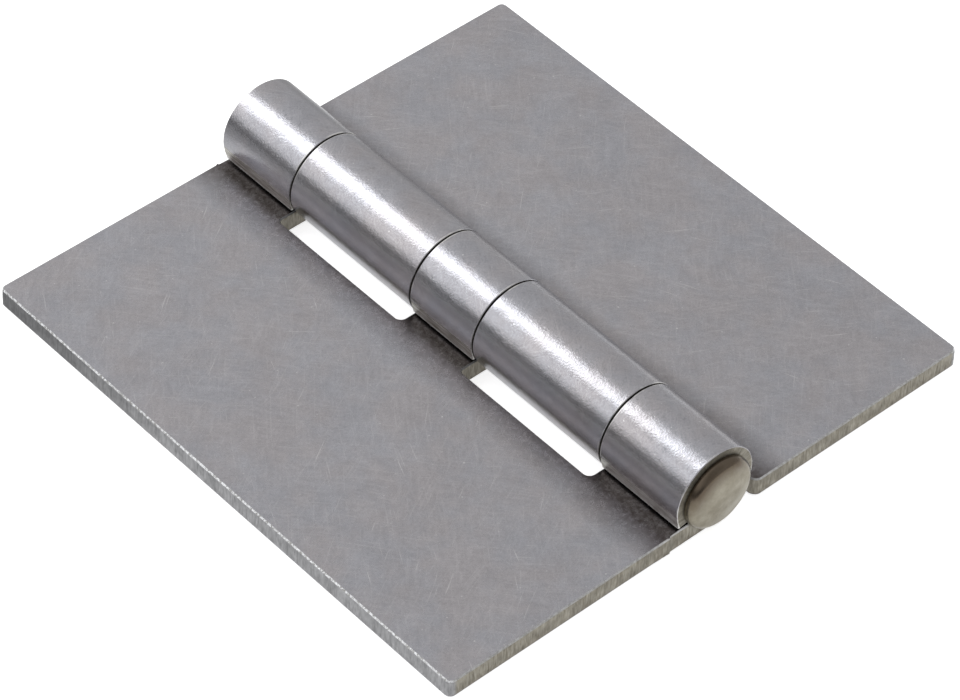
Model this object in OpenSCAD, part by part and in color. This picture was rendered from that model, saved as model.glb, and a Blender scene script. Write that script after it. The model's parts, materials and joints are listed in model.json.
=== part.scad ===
// Plain weld-on butt hinge: two square-edged steel leaves curled into five
// interleaved knuckles round one headed pin, lying open flat.
// Frame: +Y runs along the pin towards its plain end, +X towards the leaf with
// two knuckles, +Z up. The undersides of both leaves lie on z = 0.

/* [Leaves] */
// Length of the leaves and of the barrel, along the pin
leaf_length = 101.6; // [90:0.2:127]
// From the pin's axis to the outer edge of each leaf
leaf_reach = 50.8; // [38:0.2:64]
// Thickness of the steel sheet
sheet = 3.3; // [2.5:0.1:4]
// Radius on the corners of the leaves
corner_r = 1.2; // [0.4:0.1:2]
// Radius inside the notches
notch_fillet = 1; // [0.4:0.1:1.4]

/* [Pin] */
// Diameter of the pin
pin_d = 8.2; // [7:0.1:9]
// Radial running clearance between the pin and the knuckles
pin_clearance = 0.08; // [0.04:0.01:0.1]
// Diameter of the pin's head
head_d = 12.4; // [11.5:0.1:13]
// Height of the head above the end of the barrel
head_h = 2.2; // [2:0.1:3]
// Radius of the head's shoulder
head_shoulder = 1.4; // [0.8:0.1:1.5]
// Chamfer on the plain end of the pin
pin_chamfer = 0.6; // [0.2:0.1:1]

/* [Knuckles] */
// Axial play between neighbouring knuckles
knuckle_play = 0.3; // [0.1:0.05:0.5]
// From the barrel to the notch edges of the leaf with three knuckles
three_notch_gap = 1.85; // [0.8:0.05:2.5]
// From the barrel to the notch edges of the leaf with two knuckles
two_notch_gap = 0.9; // [0.8:0.05:2.5]
// Set-back of the barrel's two ends from the ends of the leaves
end_setback = 0.2; // [0:0.05:0.6]
// How far the full length of a leaf runs in past its notch edges
setback_run = 0.9; // [0.2:0.1:1.5]
// Gap between the sheared tip of a curl and its own leaf
tip_gap = 0.3; // [0.2:0.05:0.6]
// Length of the unbent stretch at the tip of a curl
tip_length = 2.4; // [1:0.1:2.8]

/* [Hidden] */
$fn = 96;

// Shares of the barrel's length, from the plain end to the head end
KNUCKLE_SHARES = [0.158, 0.271, 0.137, 0.271, 0.163];

bore_r = pin_d / 2 + pin_clearance;
knuckle_r = bore_r + sheet;
head_overhang = head_h - end_setback;
// The whole hinge, head included, is centred on y = 0
far_y = (leaf_length + head_overhang) / 2;
near_y = far_y - leaf_length;
cut = 1;
weld = 0.05;
crown_rise = 0.4;

// The arc ends tip_lean degrees below the level of the pin's axis, and the tip
// goes on straight from there. Its outer corner is tip_drop below the axis:
// knuckle_r * sin(tip_lean) + tip_length * cos(tip_lean) = tip_drop.
tip_drop = knuckle_r - sheet - tip_gap;
tip_lean = asin(tip_drop / norm([knuckle_r, tip_length])) - atan(tip_length / knuckle_r);

function shares_up_to(i) = i == 0 ? 0 : KNUCKLE_SHARES[i - 1] + shares_up_to(i - 1);
function seam_y(i) = i == 0 ? far_y - end_setback
                   : i == 5 ? near_y + end_setback
                   : far_y - leaf_length * shares_up_to(i);
// Low and high end of knuckle i, counted from the plain end
function knuckle_span(i) = [
    seam_y(i + 1) + (i == 4 ? 0 : knuckle_play / 2),
    seam_y(i) - (i == 0 ? 0 : knuckle_play / 2)
];

// Curled sheet, as a section in x and height above the pin's axis. The sheet
// leaves the underside at x = 0 and wraps by way of +x and the top.
module knuckle(span) {
    length = span[1] - span[0];
    translate([0, span[1], knuckle_r]) rotate([90, 0, 0]) {
        difference() {
            cylinder(h = length, r = knuckle_r);
            translate([0, 0, -cut]) cylinder(h = length + 2 * cut, r = bore_r);
            translate([0, 0, -cut]) linear_extrude(length + 2 * cut) open_wedge();
        }
        linear_extrude(length) tip_section();
    }
}

// Sector between the start of the straight tip and straight down
module open_wedge() {
    reach = 2 * knuckle_r;
    polygon([[0, 0],
             [-reach * cos(tip_lean), -reach * sin(tip_lean)],
             [-reach, -reach],
             [0, -reach]]);
}

// Straight tip of the curl, tangent to the end of the arc and let into it by
// a hair's breadth so that the two are one solid
module tip_section() {
    rotate(tip_lean) translate([-knuckle_r, -tip_length]) square([sheet, tip_length + weld]);
}

// Plan of a leaf on the -x side, with strips that run in under its knuckles
module leaf_plan(spans, notch_x) {
    width = leaf_reach - notch_x;
    translate([-leaf_reach, near_y + corner_r]) square([width, leaf_length - 2 * corner_r]);
    translate([-leaf_reach + corner_r, near_y]) square([width - 2 * corner_r, leaf_length]);
    for (x = [-leaf_reach + corner_r, -notch_x - corner_r])
        for (y = [near_y + corner_r, far_y - corner_r])
            translate([x, y]) circle(corner_r);
    for (span = spans) {
        strip_plan(span, notch_x + corner_r, 0);
        strip_plan(span, notch_x + corner_r, notch_x - setback_run);
    }
}

// Strip of a leaf under the knuckle at span, between two distances from x = 0.
// The stretch that ends short of x = 0 fills the set-back at the leaf's ends.
module strip_plan(span, from_x, to_x) {
    low = to_x > 0 && span[0] < near_y + 2 * end_setback ? near_y : span[0];
    high = to_x > 0 && span[1] > far_y - 2 * end_setback ? far_y : span[1];
    translate([-from_x, low]) square([from_x - to_x, high - low]);
}

// Concave corner between a notch edge and a strip; side is +1 above, -1 below
module notch_corner(notch_x, y, side) {
    translate([-notch_x, y]) scale([1, side]) difference() {
        translate([-cut / 2, -cut / 2]) square(notch_fillet + cut / 2);
        translate([notch_fillet, notch_fillet]) circle(notch_fillet);
    }
}

module leaf(spans, notch_x) {
    linear_extrude(sheet) {
        leaf_plan(spans, notch_x);
        for (span = spans) {
            if (span[1] < far_y - notch_fillet) notch_corner(notch_x, span[1], 1);
            if (span[0] > near_y + notch_fillet) notch_corner(notch_x, span[0], -1);
        }
    }
    for (span = spans) knuckle(span);
}

module three_knuckle_leaf() {
    spans = [knuckle_span(0), knuckle_span(2), knuckle_span(4)];
    color("silver") leaf(spans, knuckle_r + three_notch_gap);
}

module two_knuckle_leaf() {
    spans = [knuckle_span(1), knuckle_span(3)];
    color("silver") mirror([1, 0, 0]) leaf(spans, knuckle_r + two_notch_gap);
}

// Headed pin, its chamfered plain end flush with the far knuckle
module hinge_pin() {
    length = seam_y(0) - seam_y(5);
    color("tan") translate([0, seam_y(5), knuckle_r]) rotate([-90, 0, 0]) {
        cylinder(h = length - pin_chamfer, r = pin_d / 2);
        translate([0, 0, length - pin_chamfer])
            cylinder(h = pin_chamfer, r1 = pin_d / 2, r2 = pin_d / 2 - pin_chamfer);
        rotate([180, 0, 0]) pin_head();
    }
}

// Short rim, round shoulder and a low crown inside the shoulder
module pin_head() {
    head_r = head_d / 2;
    shoulder_r = head_r - head_shoulder;
    rim_h = head_h - crown_rise - head_shoulder;
    crown_r = (shoulder_r * shoulder_r + crown_rise * crown_rise) / (2 * crown_rise);
    cylinder(h = rim_h, r = head_r);
    cylinder(h = rim_h + head_shoulder, r = shoulder_r);
    translate([0, 0, rim_h]) rotate_extrude() intersection() {
        translate([shoulder_r, 0]) circle(head_shoulder);
        translate([shoulder_r / 2, 0]) square([head_r, head_shoulder]);
    }
    intersection() {
        translate([0, 0, head_h - crown_r]) sphere(crown_r);
        cylinder(h = head_h, r = shoulder_r);
    }
}

three_knuckle_leaf();
two_knuckle_leaf();
hinge_pin();
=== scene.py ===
import json
import math

import bmesh
import bpy
import numpy as np
from mathutils import Matrix, Vector, noise
from mathutils.geometry import delaunay_2d_cdt


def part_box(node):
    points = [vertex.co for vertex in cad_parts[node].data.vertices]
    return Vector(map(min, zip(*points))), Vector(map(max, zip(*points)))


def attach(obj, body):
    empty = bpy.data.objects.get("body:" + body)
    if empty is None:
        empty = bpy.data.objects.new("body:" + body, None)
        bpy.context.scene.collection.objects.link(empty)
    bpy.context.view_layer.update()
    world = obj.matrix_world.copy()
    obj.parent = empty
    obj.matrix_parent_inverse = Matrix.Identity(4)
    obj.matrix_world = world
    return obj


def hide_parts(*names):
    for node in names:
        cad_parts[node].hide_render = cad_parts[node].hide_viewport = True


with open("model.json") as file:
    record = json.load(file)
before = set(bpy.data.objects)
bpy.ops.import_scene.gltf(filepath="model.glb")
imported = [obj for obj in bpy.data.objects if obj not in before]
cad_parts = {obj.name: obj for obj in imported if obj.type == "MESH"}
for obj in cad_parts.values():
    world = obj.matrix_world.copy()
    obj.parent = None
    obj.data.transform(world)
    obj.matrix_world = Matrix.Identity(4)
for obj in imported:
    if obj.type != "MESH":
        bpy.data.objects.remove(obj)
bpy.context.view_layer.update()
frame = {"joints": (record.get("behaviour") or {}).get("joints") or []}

# Geometry is worked out in millimetres and scaled to metres when a mesh is made.
MM = 0.001


def mm_box(node):
    low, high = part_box(node)
    return low / MM, high / MM


# Sizes read from the frame
leaf_low, leaf_high = mm_box("three_knuckle_leaf")
pin_low, pin_high = mm_box("hinge_pin")
REACH = -leaf_low.x
KNUCKLE_R = leaf_high.x
NEAR_Y = leaf_low.y
FAR_Y = leaf_high.y
MIDDLE_Y = (NEAR_Y + FAR_Y) / 2
LENGTH = FAR_Y - NEAR_Y
AXIS_Z = frame["joints"][0]["pos_m"][2] / MM
HEAD_R = pin_high.x
BARREL_FAR_Y = pin_high.y
SETBACK = FAR_Y - BARREL_FAR_Y
BARREL_NEAR_Y = NEAR_Y + SETBACK

# Sizes shared with the part's source
SHEET = 3.3
PIN_R = 4.1
KNUCKLE_PLAY = 0.3
TIP_GAP = 0.3
TIP_LENGTH = 2.4
SETBACK_RUN = 0.9
THREE_NOTCH_X = KNUCKLE_R + 1.85
TWO_NOTCH_X = KNUCKLE_R + 0.9
HEAD_SHOULDER = 1.4
CROWN_RISE = 0.4
PIN_CHAMFER = 0.6
KNUCKLE_SHARES = (0.158, 0.271, 0.137, 0.271, 0.163)

# The curl leaves the flat sheet at s = 0, follows an arc, and ends in a straight tip.
TIP_DROP = KNUCKLE_R - SHEET - TIP_GAP
TIP_LEAN = math.asin(TIP_DROP / math.hypot(KNUCKLE_R, TIP_LENGTH)) - math.atan(TIP_LENGTH / KNUCKLE_R)
ARC_END = math.radians(270) + TIP_LEAN
ARC_LENGTH = KNUCKLE_R * ARC_END
CURL_LENGTH = ARC_LENGTH + TIP_LENGTH

# Shapes of the sheared edges
OUTER_CORNER_R = 1.1
INNER_CORNER_R = 1.4
NOTCH_NEAR_R = 1.1
NOTCH_FAR_R = 0.5
TIP_CORNER_R = 0.45
STEP_R = 0.1
EDGE_ROLL = 0.28
SEAM_ROLL = 0.15
BURR = 0.24
HOLD = 0.12
FRACTURE = 0.05
EDGE_WANDER = 0.05
FACE_WANDER = 0.035

# Spacing of the mesh's stations
FLAT_STEP = 3.0
CURL_STEP = 0.45
ALONG_STEP = 2.5
ARC_STEP = 0.16
CORNER_CLEARANCE = 0.2
CAP_CLEARANCE = 0.22
CAP_EPSILON = 1e-5
SHARP_ANGLE = math.radians(38)
PIN_SIDES = 112
SHANK_ROWS = 40

# Noise in the shapes: its wavelength, and the hammer dents of the head
EDGE_WAVE = 1.3
FACE_WAVE = 5.0
DENT_WAVE = 2.6
DENT_DEPTH = 0.05
SMALLEST_ROLL = 0.04


def knuckle_spans():
    """Low and high end of each knuckle along the pin, from the plain end to the head end."""
    seams = [BARREL_FAR_Y]
    share = 0
    for part in KNUCKLE_SHARES[:-1]:
        share += part
        seams.append(FAR_Y - LENGTH * share)
    seams.append(BARREL_NEAR_Y)
    last = len(KNUCKLE_SHARES) - 1
    spans = []
    for i in range(last + 1):
        low = seams[i + 1] + (0 if i == last else KNUCKLE_PLAY / 2)
        high = seams[i] - (0 if i == 0 else KNUCKLE_PLAY / 2)
        spans.append((low, high))
    return spans


def blank_corners(spans, notch_x):
    """Corners (s, y, radius) of a leaf's flat blank, anticlockwise from its outer near corner."""
    corners = [(-REACH, NEAR_Y, OUTER_CORNER_R)]
    spans = sorted(spans)
    step_s = SETBACK_RUN - notch_x
    for i, (low, high) in enumerate(spans):
        if low < NEAR_Y + 2 * SETBACK:
            corners += [(step_s, NEAR_Y, STEP_R), (step_s, low, STEP_R)]
        elif i == 0:
            corners += [(-notch_x, NEAR_Y, INNER_CORNER_R), (-notch_x, low, NOTCH_FAR_R)]
        else:
            corners += [(-notch_x, low, NOTCH_FAR_R)]
        corners += [(CURL_LENGTH, low, TIP_CORNER_R), (CURL_LENGTH, high, TIP_CORNER_R)]
        if high > FAR_Y - 2 * SETBACK:
            corners += [(step_s, high, STEP_R), (step_s, FAR_Y, STEP_R)]
        elif i == len(spans) - 1:
            corners += [(-notch_x, high, NOTCH_NEAR_R), (-notch_x, FAR_Y, INNER_CORNER_R)]
        else:
            corners += [(-notch_x, high, NOTCH_NEAR_R)]
    corners.append((-REACH, FAR_Y, OUTER_CORNER_R))
    return corners


def stations():
    """Where the mesh has lines across the sheet (s) and along the pin (y)."""
    flat = np.arange(-FLAT_STEP, -REACH, -FLAT_STEP)[::-1]
    curl = np.linspace(0, CURL_LENGTH, round(CURL_LENGTH / CURL_STEP) + 1)
    along = np.linspace(NEAR_Y, FAR_Y, round(LENGTH / ALONG_STEP) + 1)
    return np.concatenate([flat, curl]), along


def left_of(direction):
    return Vector((-direction.y, direction.x))


def trace(corners, s_stations, y_stations):
    """Dense outline: position and inward normal of each point, and the largest inset there."""
    points, normals, convex = [], [], []
    count = len(corners)
    arcs = []
    for i in range(count):
        here = Vector(corners[i][:2])
        radius = corners[i][2]
        arriving = (here - Vector(corners[i - 1][:2])).normalized()
        leaving = (Vector(corners[(i + 1) % count][:2]) - here).normalized()
        turn = arriving.cross(leaving)
        start = here - arriving * radius
        centre = start + left_of(arriving) * radius * turn
        steps = max(2, round(radius * math.pi / 2 / ARC_STEP))
        arc = []
        for k in range(steps + 1):
            angle = turn * math.radians(90) * k / steps
            normal = Matrix.Rotation(angle, 2) @ left_of(arriving)
            arc.append((centre - normal * radius * turn, normal))
        arcs.append((arc, radius if turn > 0 else None, leaving))
    for i, (arc, radius, leaving) in enumerate(arcs):
        for k, (point, normal) in enumerate(arc):
            if radius is not None and k == len(arc) // 2:
                convex.append((len(points), radius))
            points.append(point)
            normals.append(normal)
        start = arc[-1][0]
        end = arcs[(i + 1) % count][0][0][0]
        along_s = abs(leaving.x) > 0.5
        values = s_stations if along_s else y_stations
        a, b = (start.x, end.x) if along_s else (start.y, end.y)
        inside = [v for v in values if min(a, b) + CORNER_CLEARANCE < v < max(a, b) - CORNER_CLEARANCE]
        for v in sorted(inside, reverse=b < a):
            points.append(Vector((v, start.y)) if along_s else Vector((start.x, v)))
            normals.append(left_of(leaving))
    points = np.array(points)
    gaps = np.linalg.norm(np.roll(points, -1, axis=0) - points, axis=1)
    travel = np.concatenate([[0], np.cumsum(gaps)])
    total = travel[-1]
    travel = travel[:-1]
    limit = np.full(len(points), 10.0)
    for index, radius in convex:
        distance = np.abs(travel - travel[index])
        distance = np.minimum(distance, total - distance) - radius * math.pi / 4
        limit = np.minimum(limit, 0.8 * radius + 0.6 * np.maximum(distance, 0))
    return points, np.array(normals), limit


def edge_profile(roll):
    """(depth, inset) across an edge, from the rolled-over face to the burred face."""
    rows = [(0, roll + HOLD)]
    for degrees in (90, 65, 40, 18, 0):
        angle = math.radians(degrees)
        rows.append((roll * (1 - math.sin(angle)), roll * (1 - math.cos(angle))))
    rows.append((0.45 * SHEET, 0))
    rows.append((SHEET - BURR, FRACTURE))
    rows.append((SHEET, FRACTURE + BURR))
    rows.append((SHEET, FRACTURE + BURR + HOLD))
    return rows


ROLL_ROWS = (1, 2, 3, 4, 5)
WALL_ROWS = (5, 6)
BURR_ROW = 7


def inside_outline(points, outline):
    """Which points lie inside a closed outline."""
    result = np.zeros(len(points), bool)
    x, y = points[:, 0], points[:, 1]
    ends = np.roll(outline, -1, axis=0)
    for (ax, ay), (bx, by) in zip(outline, ends):
        if ay == by:
            continue
        crosses = (ay > y) != (by > y)
        result ^= crosses & (x < (bx - ax) * (y - ay) / (by - ay) + ax)
    return result


def clear_of(points, outline, gap):
    """Which points are further than gap from every point of an outline."""
    nearest = np.full(len(points), 1e9)
    ends = np.roll(outline, -1, axis=0)
    for a, b in zip(outline, ends):
        side = b - a
        along = np.clip(((points - a) @ side) / max(side @ side, 1e-12), 0, 1)
        nearest = np.minimum(nearest, np.linalg.norm(points - (a + along[:, None] * side), axis=1))
    return nearest > gap


def cap(ring, s_stations, y_stations):
    """Triangles over a ring's inside: their interior points, and indices into ring + interior."""
    grid = np.array(np.meshgrid(s_stations, y_stations)).reshape(2, -1).T
    grid = grid[inside_outline(grid, ring)]
    grid = grid[clear_of(grid, ring, CAP_CLEARANCE)]
    every = np.concatenate([ring, grid])
    loop = [(i, (i + 1) % len(ring)) for i in range(len(ring))]
    found = delaunay_2d_cdt([Vector(p) for p in every], loop, [], 1, CAP_EPSILON)
    if len(found[0]) != len(every):
        raise RuntimeError("the cap's points moved")
    origin = [ids[0] for ids in found[3]]
    return grid, [[origin[v] for v in face] for face in found[2]]


def fold(s, y, n):
    """Place of a point of the blank at distance s, depth n from the outer face, after curling."""
    if s <= 0:
        return (s, y, n)
    phi = min(s / KNUCKLE_R, ARC_END)
    radius = KNUCKLE_R - n
    x = radius * math.sin(phi)
    z = AXIS_Z - radius * math.cos(phi)
    straight = max(s - ARC_LENGTH, 0)
    return (x + straight * math.cos(phi), y, z + straight * math.sin(phi))


def wander(s, y, scale, seed):
    """Smooth noise from 0 to 1 over the blank."""
    return min(max(0.5 + 0.5 * noise.noise(Vector((s / scale, y / scale, seed))), 0), 1)


def make_mesh(name, points, faces, slots, blank, rim, materials):
    mesh = bpy.data.meshes.new(name)
    mesh.from_pydata([Vector(p) * MM for p in points], [], faces)
    for material in materials:
        mesh.materials.append(material)
    mesh.polygons.foreach_set("material_index", slots)
    store = mesh.attributes.new("blank", "FLOAT_VECTOR", "POINT")
    store.data.foreach_set("vector", np.array(blank, float).ravel())
    store = mesh.attributes.new("rim", "FLOAT", "POINT")
    store.data.foreach_set("value", rim)
    shell = bmesh.new()
    shell.from_mesh(mesh)
    bmesh.ops.recalc_face_normals(shell, faces=shell.faces)
    shell.to_mesh(mesh)
    shell.free()
    mesh.polygons.foreach_set("use_smooth", [True] * len(mesh.polygons))
    mesh.set_sharp_from_angle(angle=SHARP_ANGLE)
    mesh.update()
    piece = bpy.data.objects.new(name, mesh)
    bpy.context.scene.collection.objects.link(piece)
    return piece


def leaf_mesh(name, spans, notch_x, side, seed, materials):
    """One sheet, blanked and curled; side is +1 for the leaf on -x and -1 for its mirror."""
    s_stations, y_stations = stations()
    outline, normals, limit = trace(blank_corners(spans, notch_x), s_stations, y_stations)
    count = len(outline)
    blank, rim = [], []
    rows = len(edge_profile(EDGE_ROLL))
    for row in range(rows):
        for i in range(count):
            s, y = outline[i]
            roll = EDGE_ROLL if s < -notch_x + 0.3 else SEAM_ROLL
            if s > CURL_LENGTH - 1:
                roll = EDGE_ROLL
            roll = min(roll, limit[i] - HOLD / 2)
            depth, inset = edge_profile(max(roll, SMALLEST_ROLL))[row]
            inset = min(inset, limit[i])
            if row in WALL_ROWS or row == BURR_ROW:
                inset += EDGE_WANDER * wander(s, y, EDGE_WAVE, seed + row)
            blank.append((s + normals[i][0] * inset, y + normals[i][1] * inset, depth))
            rim.append(1.0 if row in ROLL_ROWS else 0.0)
    faces, slots = [], []
    for row in range(rows - 1):
        for i in range(count):
            j = (i + 1) % count
            low, high = row * count, (row + 1) * count
            faces.append((low + i, low + j, high + j, high + i))
            slots.append(1 if row in WALL_ROWS else 2 if row == BURR_ROW else 0)
    for row in (0, rows - 1):
        ring = np.array(blank[row * count:(row + 1) * count])[:, :2]
        grid, triangles = cap(ring, s_stations, y_stations)
        first = len(blank)
        depth = SHEET if row else 0
        blank += [(s, y, depth) for s, y in grid]
        for face in triangles:
            faces.append([row * count + v if v < count else first + v - count for v in face])
            slots.append(0)
    rim += [0.0] * (len(blank) - len(rim))
    placed = []
    for s, y, n in blank:
        ripple = FACE_WANDER * wander(s, y, FACE_WAVE, seed)
        n = min(max(n, ripple), SHEET - ripple)
        x, y, z = fold(s, y, n)
        placed.append((side * x, y, z))
    return make_mesh(name, placed, faces, slots, blank, rim, materials)


def pin_profile():
    """(y, radius) along the pin from the crown of its head to its plain end."""
    shoulder_r = HEAD_R - HEAD_SHOULDER
    crown_r = (shoulder_r ** 2 + CROWN_RISE ** 2) / (2 * CROWN_RISE)
    rows = []
    for k in range(17):
        r = shoulder_r * k / 16
        rows.append((pin_low.y + crown_r - math.sqrt(crown_r ** 2 - r ** 2), r))
    centre_y = pin_low.y + CROWN_RISE + HEAD_SHOULDER
    for k in range(2, 13):
        angle = math.radians(90) * k / 12
        r = shoulder_r + HEAD_SHOULDER * math.sin(angle)
        rows.append((centre_y - HEAD_SHOULDER * math.cos(angle), r))
    rows.append((BARREL_NEAR_Y - 0.12, HEAD_R))
    rows.append((BARREL_NEAR_Y - 0.02, HEAD_R - 0.1))
    rows.append((BARREL_NEAR_Y - 0.02, PIN_R))
    shank = np.linspace(BARREL_NEAR_Y, pin_high.y - PIN_CHAMFER, SHANK_ROWS)[1:]
    rows += [(y, PIN_R) for y in shank]
    rows.append((pin_high.y - 0.06, PIN_R - PIN_CHAMFER + 0.06))
    rows.append((pin_high.y, PIN_R - PIN_CHAMFER - 0.05))
    rows += [(pin_high.y, r) for r in (2.6, 1.4, 0)]
    return rows


def pin_mesh(name, material):
    """The pin as a turned body with faint hammer dents on its head."""
    around = PIN_SIDES
    points, faces = [], []
    profile = pin_profile()
    for y, radius in profile[1:-1]:
        for k in range(around):
            angle = 2 * math.pi * k / around
            x, z = radius * math.cos(angle), radius * math.sin(angle)
            dent = DENT_DEPTH * wander(x, z, DENT_WAVE, y * 0.1) if y < BARREL_NEAR_Y - 0.6 else 0
            points.append((x, y + dent, AXIS_Z + z))
    for row in range(len(profile) - 3):
        for k in range(around):
            j = (k + 1) % around
            low, high = row * around, (row + 1) * around
            faces.append((low + k, low + j, high + j, high + k))
    last = (len(profile) - 3) * around
    for y, first in ((profile[0][0] + 0.025, 0), (profile[-1][0], last)):
        pole = len(points)
        points.append((0, y, AXIS_Z))
        faces += [(first + k, first + (k + 1) % around, pole) for k in range(around)]
    return make_mesh(name, points, faces, [0] * len(faces), points, [0.0] * len(points), [material])


# Shader nodes

def put(tree, kind, inputs=None, **settings):
    """Adds a shader node; an input's value is a number, a colour or another node's output."""
    node = tree.nodes.new("ShaderNode" + kind)
    for name, value in settings.items():
        setattr(node, name, value)
    for name, value in (inputs or {}).items():
        if isinstance(value, bpy.types.NodeSocket):
            tree.links.new(value, node.inputs[name])
        else:
            node.inputs[name].default_value = value
    return node


def math_node(tree, operation, a, b=0.0, clamp=False):
    return put(tree, "Math", {0: a, 1: b}, operation=operation, use_clamp=clamp).outputs[0]


def remap(tree, value, low, high, to_low=0.0, to_high=1.0):
    inputs = {"Value": value, "From Min": low, "From Max": high, "To Min": to_low, "To Max": to_high}
    return put(tree, "MapRange", inputs).outputs["Result"]


def mix_colour(tree, factor, a, b, blend="MIX"):
    node = put(tree, "Mix", {0: factor, 6: a, 7: b}, data_type="RGBA", blend_type=blend)
    return node.outputs[2]


def noise_value(tree, place, scale, detail=2.0, rough=0.5):
    inputs = {"Vector": place, "Scale": scale, "Detail": detail, "Roughness": rough}
    return put(tree, "TexNoise", inputs).outputs["Fac"]


def moved(tree, place, rotation=(0, 0, 0), scale=(1, 1, 1), location=(0, 0, 0)):
    turn = tuple(math.radians(a) for a in rotation)
    inputs = {"Vector": place, "Rotation": turn, "Scale": scale, "Location": location}
    return put(tree, "Mapping", inputs).outputs[0]


def streaks(tree, place, degrees, stretch, fine, seed):
    """Noise drawn out in one direction."""
    turned = moved(tree, place, (0, 0, degrees), (1, 1, 1), (seed, seed, 0))
    return noise_value(tree, moved(tree, turned, scale=(stretch, fine, 0.5)), 1.0, 3.0, 0.6)


def scratches(tree, place, degrees, width, seed, low):
    """Sparse fine lines in one direction, about 1 where there is a scratch; fewer for a high low."""
    turned = moved(tree, place, (0, 0, degrees), (1, 1, 1), (seed, seed, 0))
    bent = noise_value(tree, turned, 0.06, 1.0)
    offset = math_node(tree, "MULTIPLY", bent, 3.0)
    shift = put(tree, "CombineXYZ", {0: 0.0, 1: offset, 2: 0.0}).outputs[0]
    curved = put(tree, "VectorMath", {0: turned, 1: shift}, operation="ADD").outputs[0]
    lines = noise_value(tree, moved(tree, curved, scale=(0.10, width, 0.3)), 1.0, 1.5, 0.6)
    return remap(tree, lines, low, low + 0.08)


def new_material(name):
    material = bpy.data.materials.new(name)
    material.use_nodes = True
    tree = material.node_tree
    tree.nodes.clear()
    surface = put(tree, "BsdfPrincipled")
    output = put(tree, "OutputMaterial")
    tree.links.new(surface.outputs[0], output.inputs["Surface"])
    return material, tree, surface


def attribute(tree, name, output="Vector"):
    return put(tree, "Attribute", attribute_name=name).outputs[output]


def join(tree, surface, **sockets):
    """Links textures to the shader's sockets, named as keywords."""
    for name, value in sockets.items():
        tree.links.new(value, surface.inputs[name.replace("_", " ")])


def bump(tree, height, distance, strength=1.0, onto=None):
    inputs = {"Height": height, "Distance": distance * MM, "Strength": strength}
    if onto:
        inputs["Normal"] = onto
    return put(tree, "Bump", inputs).outputs[0]


FACE_LIGHT = (0.395, 0.386, 0.402, 1)
FACE_DARK = (0.345, 0.335, 0.348, 1)
FACE_BLUE = (0.355, 0.362, 0.400, 1)
FACE_PINK = (0.392, 0.366, 0.376, 1)
GRIME_AND_SHADE = (0.072, 0.061, 0.058, 1)
OLIVE = (0.29, 0.273, 0.232, 1)
DRAWN = (0.78, 0.77, 0.75, 1)
RUBBED_AND_HIGHLIT = (0.66, 0.65, 0.64, 1)
BRIGHT = (0.80, 0.79, 0.78, 1)
EDGE_OLIVE = (0.185, 0.166, 0.130, 1)
EDGE_PALE = (0.36, 0.342, 0.292, 1)
EDGE_GREY = (0.235, 0.235, 0.24, 1)
EDGE_SILVER = (0.375, 0.375, 0.385, 1)
BURR_DULL = (0.38, 0.375, 0.365, 1)
BURR_BRIGHT = (0.88, 0.89, 0.91, 1)
PIN_WARM = (0.213, 0.190, 0.140, 1)
PIN_PALE = (0.333, 0.310, 0.252, 1)
PIN_PAINTED_SHADE = (0.085, 0.062, 0.045, 1)

# Where the leaf's looks change, in mm across the blank (s) and along the pin (y)
CURL_FROM, CURL_TO = -1.0, 3.0
SHADE_GRIME_FROM, SHADE_GRIME_TO = -12.9, -6.4
HEAD_SHEEN_FROM, HEAD_SHEEN_TO = -33.0, -37.0
OUTER_FROM, OUTER_TO = 1.5 - REACH, 0.8 - REACH


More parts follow.
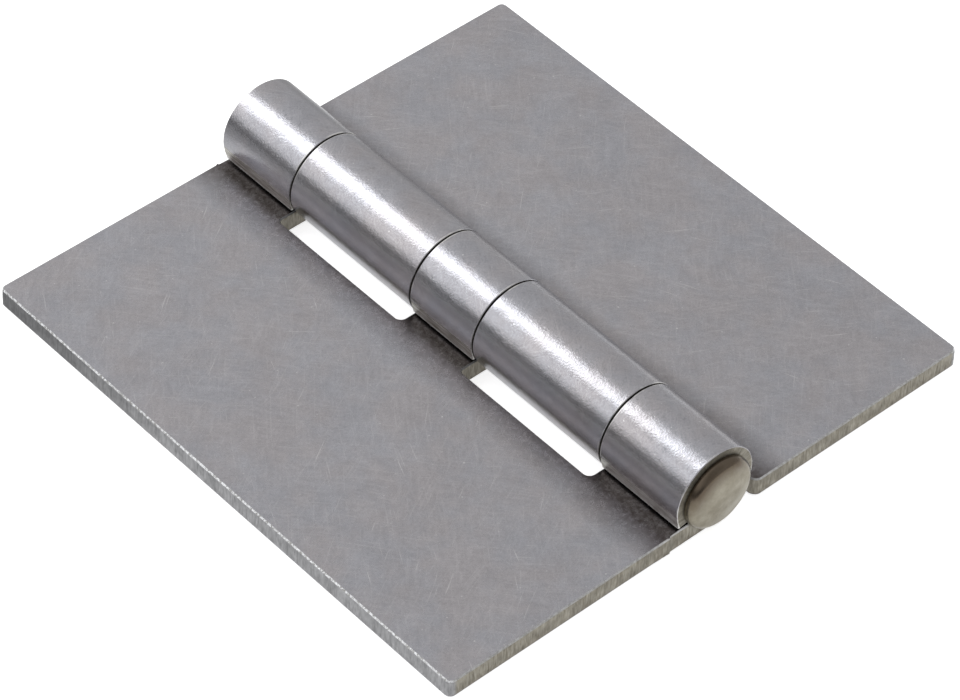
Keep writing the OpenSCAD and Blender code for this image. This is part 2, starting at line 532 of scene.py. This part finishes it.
def leaf_face_material():
    """Mill-finished sheet: mottling, grain, scratches, a polished curl, painted shade and grime by the
    barrel.
    """
    material, tree, surface = new_material("leaf_face")
    place = attribute(tree, "blank")
    parts = put(tree, "SeparateXYZ", {0: place}).outputs
    curl = remap(tree, parts[0], CURL_FROM, CURL_TO)

    def times(a, b):
        return math_node(tree, "MULTIPLY", a, b)

    def scaled(colour, factor):
        return put(tree, "VectorMath", {0: colour, "Scale": factor}, operation="SCALE").outputs[0]

    mottle = noise_value(tree, place, 0.16, 4.0, 0.6)
    hue = noise_value(tree, moved(tree, place, location=(40, 9, 3)), 0.11, 3.0, 0.6)
    grain = noise_value(tree, place, 3.2, 4.0, 0.75)
    sparkle = noise_value(tree, moved(tree, place, location=(11, 4, 9)), 3.4, 1.0, 0.6)
    pores = noise_value(tree, moved(tree, place, location=(3, 17, 5)), 1.3, 3.0, 0.7)
    dents = noise_value(tree, moved(tree, place, scale=(1.0, 0.6, 1.0)), 0.55, 2.0, 0.6)
    patch = remap(tree, noise_value(tree, moved(tree, place, location=(8, 2, 6)), 0.14, 2.0), 0.42, 0.58)
    drawn = put(tree, "Mix", {
        0: patch,
        2: streaks(tree, place, 52, 0.35, 1.3, 4.0),
        3: streaks(tree, place, -47, 0.35, 1.3, 15.0)}).outputs[0]

    tone = mix_colour(tree, remap(tree, mottle, 0.35, 0.65), FACE_DARK, FACE_LIGHT)
    tint = mix_colour(tree, remap(tree, hue, 0.38, 0.62), FACE_BLUE, FACE_PINK)
    colour = mix_colour(tree, 0.45, tone, tint)
    colour = scaled(colour, remap(tree, grain, 0.32, 0.68, 0.90, 1.10))
    colour = scaled(colour, remap(tree, drawn, 0.35, 0.65, 0.95, 1.05))
    smudge = times(curl, remap(tree, pores, 0.42, 0.30))
    colour = scaled(colour, remap(tree, smudge, 0.0, 1.0, 1.0, 0.84))

    lines, strokes = 0.0, 0.0
    for degrees, seed in ((38, 3.0), (118, 31.0), (-33, 57.0)):
        fresh = scratches(tree, place, degrees, 4.5, seed, 0.70)
        faint = scratches(tree, place, degrees + 9, 3.2, seed + 5, 0.61)
        lines = math_node(tree, "MAXIMUM", fresh, lines)
        strokes = math_node(tree, "MAXIMUM", faint, strokes)
    lines = times(lines, remap(tree, curl, 0.0, 0.5, 1.0, 0.1))
    specks = remap(tree, noise_value(tree, place, 1.9, 0.0), 0.82, 0.88)
    wear = math_node(tree, "MAXIMUM", times(lines, 0.42), times(specks, 0.4))
    wear = math_node(tree, "MAXIMUM", wear, times(strokes, 0.08))
    colour = mix_colour(tree, wear, colour, BRIGHT)

    # Painted shade with grime: the sheet is darkened towards the barrel on both faces, as shade between
    # leaf and barrel.
    edge = math_node(tree, "ADD", parts[0], times(mottle, 4.0))
    edge = math_node(tree, "ADD", edge, remap(tree, parts[1], -15.0, -42.0))
    shade_and_grime_by_barrel = times(remap(tree, edge, SHADE_GRIME_FROM, SHADE_GRIME_TO), remap(tree, parts[0], 1.0, 0.0))
    stain = times(shade_and_grime_by_barrel, remap(tree, pores, 0.3, 0.65, 0.72, 1.0))
    colour = mix_colour(tree, stain, colour, GRIME_AND_SHADE)

    # The straight tip of each curl: dull and drawn, brightest by the head where a reflection is painted
    # in, above a rubbed corner
    across = math_node(tree, "ADD", parts[0], remap(tree, mottle, 0.3, 0.7, -0.3, 0.3))
    drag = noise_value(tree, moved(tree, place, scale=(3.6, 0.22, 1.0)), 1.0, 2.0, 0.65)
    facet = times(remap(tree, across, ARC_LENGTH - 0.5, ARC_LENGTH - 0.35), 0.9)
    sheen_by_head = remap(tree, parts[1], HEAD_SHEEN_FROM, HEAD_SHEEN_TO, 0.0, 0.5)
    pale = math_node(tree, "ADD", remap(tree, drag, 0.40, 0.66), sheen_by_head, clamp=True)
    dull = mix_colour(tree, pale, OLIVE, DRAWN)
    colour = mix_colour(tree, facet, colour, dull)
    corner = remap(tree, across, CURL_LENGTH - 0.75, CURL_LENGTH - 0.55)
    corner = times(corner, remap(tree, pores, 0.3, 0.5, 0.3, 1.0))
    # Painted highlight with wear: the rolled knuckle ends at the seams are lighter in broken patches.
    broken = remap(tree, noise_value(tree, moved(tree, place, location=(5, 5, 1)), 0.3, 2.0), 0.48, 0.60)
    rim = times(times(attribute(tree, "rim", "Fac"), curl), broken)
    rim = times(rim, remap(tree, pores, 0.36, 0.5, 0.3, 0.9))
    worn = math_node(tree, "MAXIMUM", corner, rim)
    colour = mix_colour(tree, rim, colour, RUBBED_AND_HIGHLIT)
    colour = mix_colour(tree, corner, colour, BRIGHT)

    rough = remap(tree, pores, 0.3, 0.7, 0.25, 0.31)
    rough = math_node(tree, "SUBTRACT", rough, times(curl, 0.05))
    rough = math_node(tree, "ADD", rough, times(math_node(tree, "MAXIMUM", worn, facet), 0.2))
    rough = math_node(tree, "ADD", rough, times(corner, 0.2))
    relief = bump(tree, grain, 0.02, 0.6)
    relief = bump(tree, times(sparkle, curl), 0.026, 0.8, relief)
    relief = bump(tree, times(dents, curl), 0.06, 0.6, relief)
    relief = bump(tree, times(drag, facet), 0.10, 0.7, relief)
    relief = bump(tree, lines, 0.01, 0.5, relief)
    join(tree, surface, Base_Color=colour, Roughness=rough, Normal=relief)
    surface.inputs["Metallic"].default_value = 1.0
    return material


def sheared_edge_material():
    """Cut edge of the sheet: striations across its thickness, warm, but neutral on the outer edges."""
    material, tree, surface = new_material("sheared_edge")
    place = attribute(tree, "blank")
    striae = noise_value(tree, moved(tree, place, scale=(1, 1, 0.16)), 3.2, 3.0, 0.7)
    patches = noise_value(tree, place, 0.5, 4.0, 0.65)
    across = put(tree, "SeparateXYZ", {0: place}).outputs[0]
    outer = remap(tree, across, OUTER_FROM, OUTER_TO)
    colour = mix_colour(tree, remap(tree, striae, 0.3, 0.7), EDGE_OLIVE, EDGE_PALE)
    neutral = mix_colour(tree, remap(tree, striae, 0.3, 0.7), EDGE_GREY, EDGE_SILVER)
    colour = mix_colour(tree, outer, colour, neutral)
    shade = remap(tree, patches, 0.3, 0.7, 0.78, 1.18)
    colour = put(tree, "VectorMath", {0: colour, "Scale": shade}, operation="SCALE").outputs[0]
    rough = remap(tree, striae, 0.3, 0.7, 0.62, 0.42)
    relief = bump(tree, striae, 0.12, 0.9)
    join(tree, surface, Base_Color=colour, Roughness=rough, Normal=relief)
    surface.inputs["Metallic"].default_value = 0.9
    return material


def burr_material():
    """Broken line of bare metal along the sheared corner, brightest on the outer edges."""
    material, tree, surface = new_material("burr")
    place = attribute(tree, "blank")
    dots = noise_value(tree, place, 1.9, 3.0, 0.75)
    across = put(tree, "SeparateXYZ", {0: place}).outputs[0]
    outer = remap(tree, across, OUTER_FROM, OUTER_TO, 0.3, 1.0)
    bare = math_node(tree, "MULTIPLY", remap(tree, dots, 0.42, 0.56), outer)
    colour = mix_colour(tree, bare, BURR_DULL, BURR_BRIGHT)
    rough = remap(tree, dots, 0.3, 0.7, 0.5, 0.35)
    join(tree, surface, Base_Color=colour, Roughness=rough, Normal=bump(tree, dots, 0.06, 0.8))
    surface.inputs["Metallic"].default_value = 0.9
    return material


def pin_material():
    """Smooth, slightly warm steel with stains, darkest on the upper shoulder of the head, where shade is
    painted.
    """
    material, tree, surface = new_material("pin_steel")
    place = attribute(tree, "blank")
    stain = noise_value(tree, place, 0.33, 4.0, 0.55)
    fine = noise_value(tree, place, 3.0, 3.0, 0.7)
    colour = mix_colour(tree, remap(tree, stain, 0.35, 0.65), PIN_WARM, PIN_PALE)
    # Painted shade on the upper shoulder of the head, standing in for a dark reflection there
    radial = put(tree, "VectorMath", {0: place, 1: (1, 0, 1)}, operation="MULTIPLY").outputs[0]
    radial = put(tree, "VectorMath", {0: radial, 1: (0, 0, AXIS_Z)}, operation="SUBTRACT").outputs[0]
    radius = put(tree, "VectorMath", {0: radial}, operation="LENGTH").outputs["Value"]
    radius = math_node(tree, "ADD", radius, remap(tree, stain, 0.3, 0.7, -0.5, 0.5))
    inputs = {0: radial, 1: (-0.25, 0, 0.97)}
    upper = put(tree, "VectorMath", inputs, operation="DOT_PRODUCT").outputs["Value"]
    painted_shade = math_node(
        tree, "MULTIPLY",
        remap(tree, radius, HEAD_R - HEAD_SHOULDER - 2.2, HEAD_R - 0.8),
        remap(tree, upper, 0.0, 4.0, 0.0, 0.85))
    colour = mix_colour(tree, painted_shade, colour, PIN_PAINTED_SHADE)
    shade = remap(tree, fine, 0.3, 0.7, 0.93, 1.06)
    colour = put(tree, "VectorMath", {0: colour, "Scale": shade}, operation="SCALE").outputs[0]
    rough = remap(tree, stain, 0.3, 0.7, 0.27, 0.19)
    join(tree, surface, Base_Color=colour, Roughness=rough, Normal=bump(tree, fine, 0.008, 0.5))
    surface.inputs["Metallic"].default_value = 1.0
    return material


# The hinge
spans = knuckle_spans()
leaf_materials = [leaf_face_material(), sheared_edge_material(), burr_material()]

three_leaf = leaf_mesh("leaf_with_three_knuckles", spans[0::2], THREE_NOTCH_X, 1, 1.0, leaf_materials)
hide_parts("three_knuckle_leaf")
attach(three_leaf, "fixed_leaf")

two_leaf = leaf_mesh("leaf_with_two_knuckles", spans[1::2], TWO_NOTCH_X, -1, 7.0, leaf_materials)
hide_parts("two_knuckle_leaf")
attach(two_leaf, "swinging_leaf")

pin = pin_mesh("headed_pin", pin_material())
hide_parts("hinge_pin")
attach(pin, "fixed_leaf")


# The studio
FLOOR_SIZE = 6.0
FLOOR_GAP = 0.1 * MM
WORLD_GREY = 0.78
WORLD_DIM = 0.75
WORLD_SHOWN = 0.95
CAMERA_SIDE = (-0.20, -0.62, 0.76)
CAMERA_DIM = 0.2
WORLD_SLOPE = 0.2
FLOOR_GREY = 0.85
FLOOR_GLOW = 0.50
FLOOR_SHOWN = 0.75
FLOOR_DIM = 0.6
FLOOR_DIM_FROM, FLOOR_DIM_TO = 0.050, 0.070
BEHIND_LEFT = (-0.86, 0.50, 0)
KEY_DIRECTION = (-0.24, 0.62, 0.75)
KEY_TINT = (0.965, 0.985, 1.0)
KEY_RADIANCE = 3.0
FILL_DIRECTION = (-0.70, 0.52, 0.49)
FILL_RADIANCE = 0.75
LIGHT_DISTANCE = 1.2
CAMERA_AZIMUTH = math.radians(-44.01)
CAMERA_ELEVATION = math.radians(45.55)
CAMERA_ROLL = math.radians(2.94)
CAMERA_DISTANCE = 685.3 * MM
CAMERA_LENS = 172.05
SENSOR_WIDTH = 36
TARGET = Vector((0, MIDDLE_Y * MM, 0.008))


def make_floor():
    """White floor; the part behind the hinge reflects darker than the camera sees it."""
    mesh = bpy.data.meshes.new("floor")
    half = FLOOR_SIZE / 2
    ring = [(-half, -half), (half, -half), (half, half), (-half, half)]
    mesh.from_pydata([(x, y, -FLOOR_GAP) for x, y in ring], [], [(0, 1, 2, 3)])
    floor = bpy.data.objects.new("floor", mesh)
    bpy.context.scene.collection.objects.link(floor)
    material, tree, surface = new_material("floor_white")
    surface.inputs["Roughness"].default_value = 1.0
    surface.inputs["Specular IOR Level"].default_value = 0.0
    surface.inputs["Emission Color"].default_value = (1, 1, 1, 1)
    shown = put(tree, "LightPath").outputs["Is Camera Ray"]
    place = put(tree, "NewGeometry").outputs["Position"]
    leftward = put(tree, "VectorMath", {0: place, 1: BEHIND_LEFT}, operation="DOT_PRODUCT")
    beyond = put(tree, "SeparateXYZ", {0: place}).outputs[1]
    behind = math_node(tree, "MAXIMUM", leftward.outputs["Value"], beyond)
    lit = remap(tree, behind, FLOOR_DIM_FROM, FLOOR_DIM_TO, 1.0, 1.0 - FLOOR_DIM)
    glow = put(tree, "Mix", {0: shown, 2: math_node(tree, "MULTIPLY", lit, FLOOR_GLOW), 3: FLOOR_SHOWN})
    tree.links.new(glow.outputs[0], surface.inputs["Emission Strength"])
    plain = (FLOOR_GREY, FLOOR_GREY, FLOOR_GREY, 1)
    dimmed = put(tree, "VectorMath", {0: plain[:3], "Scale": lit}, operation="SCALE").outputs[0]
    tree.links.new(mix_colour(tree, shown, dimmed, plain), surface.inputs["Base Color"])
    mesh.materials.append(material)


def make_world():
    """Grey surroundings, dimmer low on the -x side and by the camera, which sees them near white."""
    world = bpy.data.worlds.new("studio")
    world.use_nodes = True
    tree = world.node_tree
    background = tree.nodes["Background"]
    shown = put(tree, "LightPath").outputs["Is Camera Ray"]
    way = put(tree, "SeparateXYZ", {0: put(tree, "TexCoord").outputs["Generated"]}).outputs
    leftward = remap(tree, way[0], -0.1, -0.5)
    low = remap(tree, way[2], 0.50, 0.24)
    dim = math_node(tree, "MULTIPLY", math_node(tree, "MULTIPLY", leftward, low), WORLD_DIM)
    inputs = {0: put(tree, "TexCoord").outputs["Generated"], 1: CAMERA_SIDE}
    facing = put(tree, "VectorMath", inputs, operation="DOT_PRODUCT").outputs["Value"]
    dim = math_node(tree, "MAXIMUM", dim, remap(tree, facing, 0.70, 0.88, 0.0, CAMERA_DIM))
    grey = math_node(tree, "MULTIPLY", math_node(tree, "SUBTRACT", 1.0, dim), WORLD_GREY)
    sideways = math_node(tree, "SUBTRACT", way[1], way[0])
    slope = remap(tree, sideways, -0.2, 0.4, 1 - WORLD_SLOPE / 2, 1 + WORLD_SLOPE)
    grey = math_node(tree, "MULTIPLY", grey, slope)
    strength = put(tree, "Mix", {0: shown, 2: grey, 3: WORLD_SHOWN}).outputs[0]
    tree.links.new(strength, background.inputs["Strength"])
    background.inputs["Color"].default_value = (1, 1, 1, 1)
    bpy.context.scene.world = world


def softbox(name, direction, distance, width, height, radiance, tint=(1, 1, 1)):
    """Rectangular light of a given radiance in a direction from the hinge."""
    light = bpy.data.lights.new(name, "AREA")
    light.shape = "RECTANGLE"
    light.size = width
    light.size_y = height
    light.energy = radiance * math.pi * width * height
    light.color = tint
    lamp = bpy.data.objects.new(name, light)
    direction = Vector(direction).normalized()
    lamp.location = TARGET + direction * distance
    lamp.rotation_euler = direction.to_track_quat("Z", "Y").to_euler()
    bpy.context.scene.collection.objects.link(lamp)


def make_camera():
    aim = Vector((-2.05, MIDDLE_Y - 2.87, 0)) * MM
    flat = math.cos(CAMERA_ELEVATION)
    back_x, back_y = math.sin(CAMERA_AZIMUTH) * flat, -math.cos(CAMERA_AZIMUTH) * flat
    back = Vector((back_x, back_y, math.sin(CAMERA_ELEVATION)))
    level = Vector((0, 0, 1)).cross(back).normalized()
    upright = back.cross(level)
    right = level * math.cos(CAMERA_ROLL) + upright * math.sin(CAMERA_ROLL)
    up = back.cross(right)
    data = bpy.data.cameras.new("camera")
    data.sensor_width = SENSOR_WIDTH
    data.lens = CAMERA_LENS
    data.clip_start = 0.01
    data.clip_end = 50
    data.dof.use_dof = False
    camera = bpy.data.objects.new("camera", data)
    turn = Matrix((right, up, back)).transposed()
    camera.matrix_world = Matrix.Translation(aim + back * CAMERA_DISTANCE) @ turn.to_4x4()
    bpy.context.scene.collection.objects.link(camera)
    bpy.context.scene.camera = camera


make_floor()
make_world()
softbox("key", KEY_DIRECTION, LIGHT_DISTANCE, 0.50, 0.62, KEY_RADIANCE, KEY_TINT)
softbox("fill", FILL_DIRECTION, LIGHT_DISTANCE, 0.36, 0.62, FILL_RADIANCE)
make_camera()
bpy.context.scene.view_settings.view_transform = "Standard"
